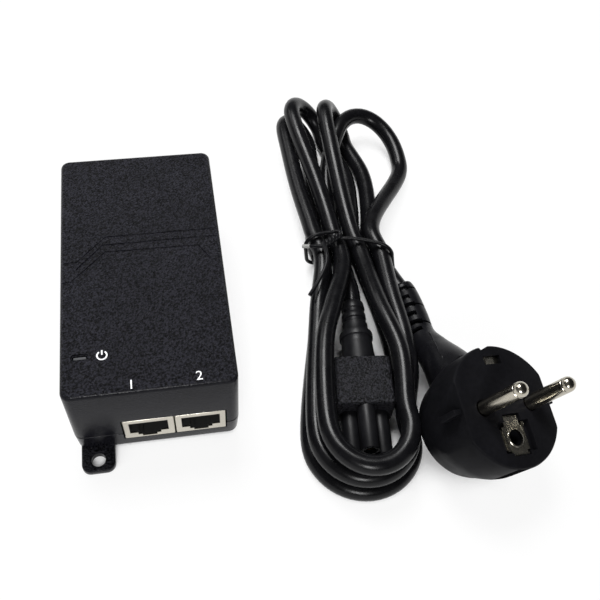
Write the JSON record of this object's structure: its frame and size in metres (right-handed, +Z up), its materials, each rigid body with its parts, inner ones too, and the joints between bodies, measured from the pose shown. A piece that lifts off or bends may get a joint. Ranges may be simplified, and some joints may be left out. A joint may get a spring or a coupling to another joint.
{
  "type": "poe injector",
  "caption": "Boxy black power-over-Ethernet injector with shielded network jacks, a mains inlet and screw ears, beside its mains lead tied in a hank.",
  "frame": {"origin": "bottom centre of the injector's case and ears, on the surface that it stands on", "axes": "+Z up, -Y out of the network jacks, +Y out of the mains inlet, +X to the right when the jacks face the viewer"},
  "size_m": [0.1516, 0.1786, 0.0505],
  "materials": {
    "case_black": "fine spark texture, satin on the walls",
    "moulded_black": "glossy moulded vinyl",
    "insert_black": "plain moulded",
    "nickel": "bright nickel plate",
    "brass": "plain",
    "gold": "gold plate",
    "steel": "zinc plate",
    "aluminium": "plain sheet",
    "ferrite": "dull ferrite",
    "tape": "taped copper winding",
    "laminate": "solder resist",
    "sleeve": "shrink sleeve",
    "epoxy": "moulded epoxy",
    "amber": "dipped",
    "lens": "frosted",
    "lamp": "tinted"
  },
  "bodies": {
    "injector": {"bottom_case": "case_black", "top_cover": "case_black", "circuit_board": "laminate", "lan_jack_shield": "nickel", "poe_jack_shield": "nickel", "lan_jack_insert": "insert_black", "poe_jack_insert": "insert_black", "lan_jack_contacts": "gold", "poe_jack_contacts": "gold", "mains_inlet_body": "insert_black", "inlet_live_pin": "nickel", "inlet_neutral_pin": "nickel", "inlet_earth_pin": "nickel", "power_light_pipe": "lens", "power_lamp": "lamp", "transformer_core": "ferrite", "transformer_winding": "tape", "noise_filter_choke": "brass", "bulk_capacitor": "sleeve", "output_capacitor_1": "sleeve", "output_capacitor_2": "sleeve", "filter_capacitor": "amber", "bridge_rectifier": "epoxy", "mains_fuse": "epoxy", "data_transformer": "epoxy", "control_chip": "epoxy", "heat_sink": "aluminium", "switching_transistor": "epoxy", "output_rectifier": "epoxy", "case_screw_1": "steel", "case_screw_2": "steel", "case_screw_3": "steel", "case_screw_4": "steel"},
    "power_lead": {"power_cord": "moulded_black", "cord_tie": "insert_black", "connector_body": "moulded_black", "connector_live_contact": "brass", "connector_neutral_contact": "brass", "connector_earth_contact": "brass", "plug_body": "moulded_black", "plug_pin_left": "nickel", "plug_pin_right": "nickel", "plug_earth_clip": "nickel", "plug_earth_socket": "nickel"}
  },
  "joints": [
    {"name": "lead_lift", "type": "slide", "parent": "injector", "child": "power_lead", "axis": [0, 0, 1], "range_m": [0, 0.12]}
  ]
}
